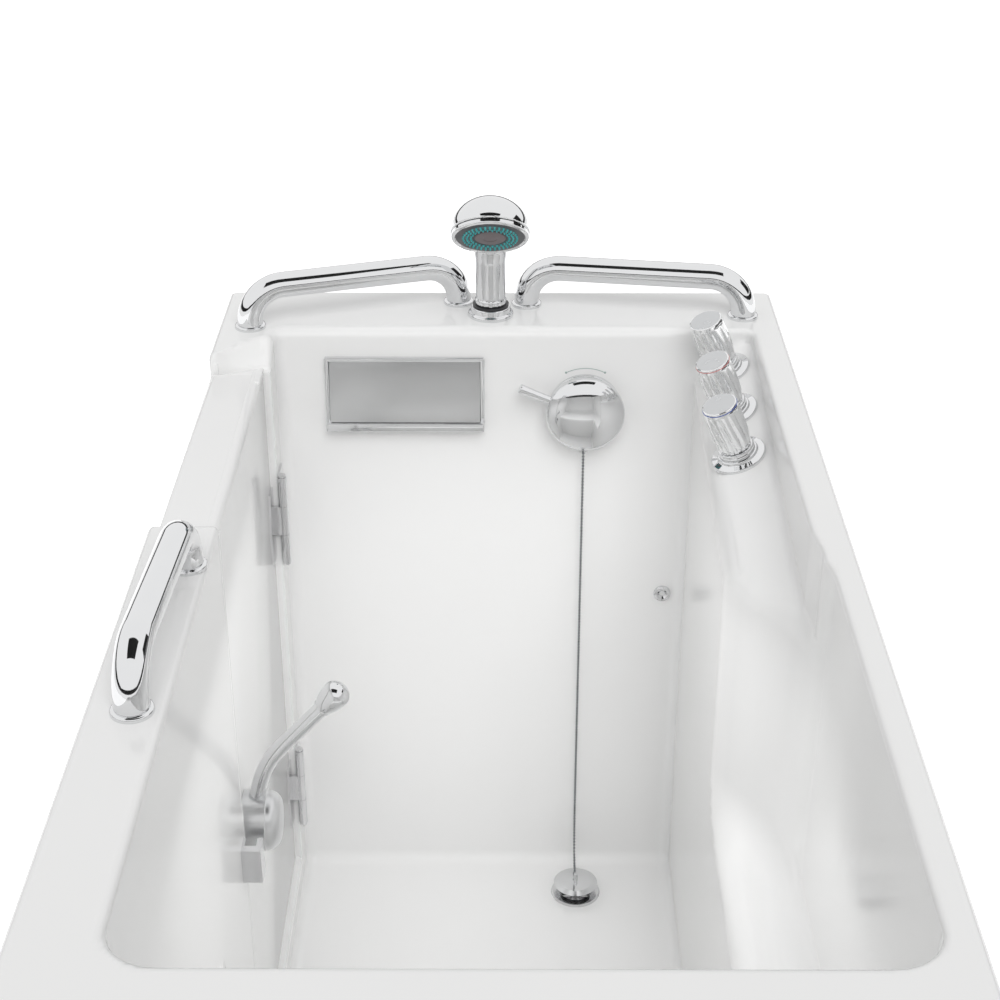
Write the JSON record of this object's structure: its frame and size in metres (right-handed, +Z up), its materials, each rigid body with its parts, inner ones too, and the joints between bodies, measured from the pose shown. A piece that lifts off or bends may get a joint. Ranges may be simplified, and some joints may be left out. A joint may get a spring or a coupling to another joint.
{
  "type": "walk in bathtub with door",
  "caption": "Deep walk-in bathtub with a moulded seat, an inward-swinging latched door, grab bars, hand shower, waterfall spout, knob valves and a turn-operated drain.",
  "frame": {"origin": "on the floor under the middle of the rim's outer rectangle", "axes": "+Y along the tub to the foot end where the taps are, +Z up, door on the -X side"},
  "size_m": [0.711, 1.346, 1.1454],
  "materials": {
    "acrylic": "high gloss white",
    "chrome": "polished",
    "polished_panel": "polished",
    "stainless": "brushed",
    "frame_paint": "satin powder coat",
    "plywood": "sealed plywood",
    "seal_rubber": "matt",
    "white_plastic": "satin",
    "brass": "cast and drawn",
    "black_plastic": "satin",
    "spray_face": "satin dark grey",
    "foam_core": "cut foam",
    "red_index": "gloss",
    "blue_index": "gloss"
  },
  "bodies": {
    "tub": {"tub_shell": "acrylic", "door_jamb": "acrylic", "door_seal": "seal_rubber", "base_board": "plywood", "base_rails": "frame_paint", "frame_posts": "frame_paint", "top_rails": "frame_paint", "seat_bearers": "frame_paint", "door_side_skirt": "acrylic", "foot_end_skirt": "acrylic", "seat_end_skirt": "acrylic", "skirt_screws": "white_plastic", "far_left_grab_bar": "chrome", "far_right_grab_bar": "chrome", "near_left_grab_bar": "chrome", "bar_flanges": "chrome", "bar_studs": "stainless", "shower_deck_plate": "chrome", "shower_feed_pipe": "brass", "spout_frame": "chrome", "spout_panel": "polished_panel", "spout_tank": "white_plastic", "spout_pipe": "brass", "diverter_valve": "brass", "hot_valve": "brass", "cold_valve": "brass", "valve_rings": "chrome", "mixer_pipe": "brass", "drain_ring": "chrome", "drain_cable": "black_plastic", "waste_body": "stainless", "overflow_pipe": "white_plastic", "jet_fitting": "chrome", "chain_clip": "chrome", "bead_chain": "chrome", "hinge_wall_leaves": "stainless", "hinge_pins": "stainless", "latch_keeper": "stainless", "foot_nuts": "stainless"},
    "door_leaf": {"door_panel": "acrylic", "door_outer_skin": "acrylic", "door_core": "foam_core", "hinge_door_leaves": "stainless"},
    "latch": {"latch_hub": "chrome", "latch_lever": "chrome", "latch_knob": "chrome"},
    "drain_control": {"drain_dome": "chrome"},
    "drain_stopper": {"stopper": "chrome"},
    "diverter_handle": {"diverter_knob": "chrome"},
    "hot_handle": {"hot_knob": "chrome", "hot_index_ring": "red_index"},
    "cold_handle": {"cold_knob": "chrome", "cold_index_ring": "blue_index"},
    "shower_guide": {"shower_bush": "black_plastic"},
    "hand_set": {"hand_shower": "chrome"},
    "spray_dial": {"spray_ring": "spray_face"},
    "foot_a_screw": {"foot_a": "seal_rubber"},
    "foot_b_screw": {"foot_b": "seal_rubber"},
    "foot_c_screw": {"foot_c": "seal_rubber"},
    "foot_d_screw": {"foot_d": "seal_rubber"}
  },
  "joints": [
    {"name": "door_swing", "type": "hinge", "parent": "tub", "child": "door_leaf", "pos_m": [-0.2777, 0.478, 0.549], "axis": [0, 0, 1], "range_deg": [0, 75]},
    {"name": "latch_turn", "type": "hinge", "parent": "door_leaf", "child": "latch", "pos_m": [-0.2917, 0.09, 0.549], "axis": [-1, 0, 0], "range_deg": [0, 90]},
    {"name": "drain_turn", "type": "hinge", "parent": "tub", "child": "drain_control", "pos_m": [0.109, 0.545, 0.857], "axis": [0, 1, 0], "range_deg": [0, 120]},
    {"name": "stopper_lift", "type": "slide", "parent": "tub", "child": "drain_stopper", "axis": [0, 0, 1], "range_m": [-0.012, 0]},
    {"name": "diverter_turn", "type": "hinge", "parent": "tub", "child": "diverter_handle", "pos_m": [0.281, 0.5105, 0.92425], "axis": [-0.3629, -0.1392, 0.9214], "range_deg": [0, 90]},
    {"name": "hot_turn", "type": "hinge", "parent": "tub", "child": "hot_handle", "pos_m": [0.281, 0.4195, 0.9105], "axis": [-0.3629, -0.1392, 0.9214], "range_deg": [0, 90]},
    {"name": "cold_turn", "type": "hinge", "parent": "tub", "child": "cold_handle", "pos_m": [0.281, 0.3285, 0.89675], "axis": [-0.3629, -0.1392, 0.9214], "range_deg": [0, 90]},
    {"name": "shower_swivel", "type": "hinge", "parent": "tub", "child": "shower_guide", "pos_m": [-0.012, 0.594, 0.965], "axis": [0, 0, 1], "range_deg": [-90, 90]},
    {"name": "shower_lift", "type": "slide", "parent": "shower_guide", "child": "hand_set", "axis": [0, 0, 1], "range_m": [0, 0.12]},
    {"name": "spray_turn", "type": "hinge", "parent": "hand_set", "child": "spray_dial", "pos_m": [-0.012, 0.54, 1.094], "axis": [0, -0.6947, -0.7193], "range_deg": [0, 120]},
    {"name": "foot_a_level", "type": "slide", "parent": "tub", "child": "foot_a_screw", "axis": [0, 0, -1], "range_m": [0, 0.02]},
    {"name": "foot_b_level", "type": "slide", "parent": "tub", "child": "foot_b_screw", "axis": [0, 0, -1], "range_m": [0, 0.02]},
    {"name": "foot_c_level", "type": "slide", "parent": "tub", "child": "foot_c_screw", "axis": [0, 0, -1], "range_m": [0, 0.02]},
    {"name": "foot_d_level", "type": "slide", "parent": "tub", "child": "foot_d_screw", "axis": [0, 0, -1], "range_m": [0, 0.02]}
  ],
  "couplings": [
    {"joint": "stopper_lift", "follows": "drain_turn", "m_per_rad": -0.0057296}
  ]
}
